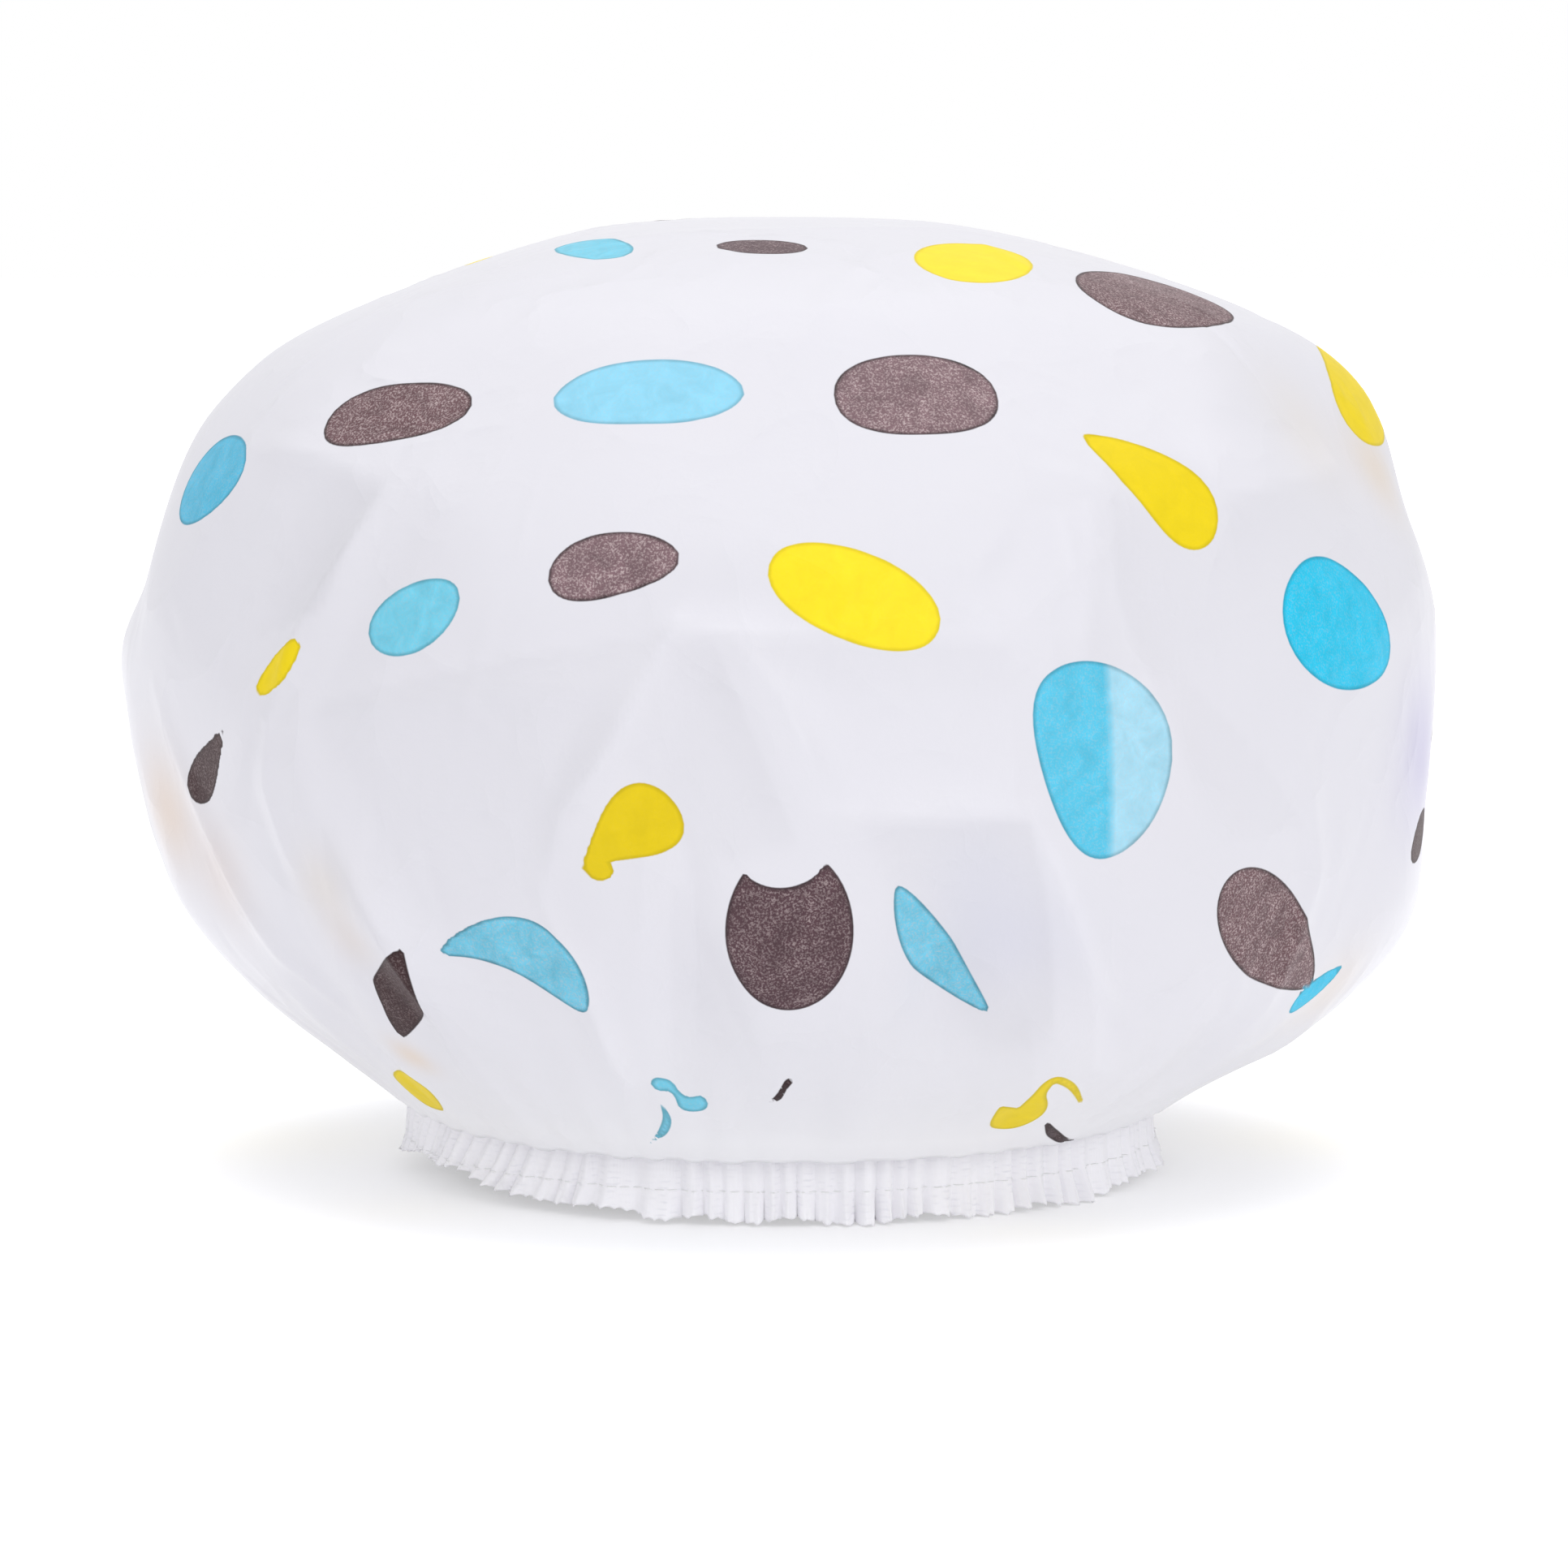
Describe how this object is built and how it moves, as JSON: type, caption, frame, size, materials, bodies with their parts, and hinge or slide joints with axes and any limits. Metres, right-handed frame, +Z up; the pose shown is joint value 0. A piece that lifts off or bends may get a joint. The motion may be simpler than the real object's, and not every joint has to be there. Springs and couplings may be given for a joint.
{
  "type": "shower cap",
  "caption": "Gathered shower cap of printed waterproof film with an elasticated hem and a lace ruffle, puffed out and standing on its hem.",
  "frame": {"origin": "on the surface that the cap stands on, under the middle of the crown and of the hem", "axes": "+Z up through the crown; +X to the right and -Y towards the viewer, as pictured; the elastic's lapped ends are at +Y"},
  "size_m": [0.2776, 0.2644, 0.203],
  "materials": {
    "printed_film": "translucent white film with blue, yellow and dark brown dots",
    "elastic": "white flat braid",
    "lace": "white knitted lace, pleated",
    "thread": "white sewing thread"
  },
  "bodies": {
    "root": {"crown_film": "printed_film", "elastic_band": "elastic", "elastic_tack_thread": "thread", "lace_ruffle": "lace", "needle_thread_upper": "thread", "needle_thread_lower": "thread", "bobbin_thread_upper": "thread", "bobbin_thread_lower": "thread"}
  },
  "joints": []
}
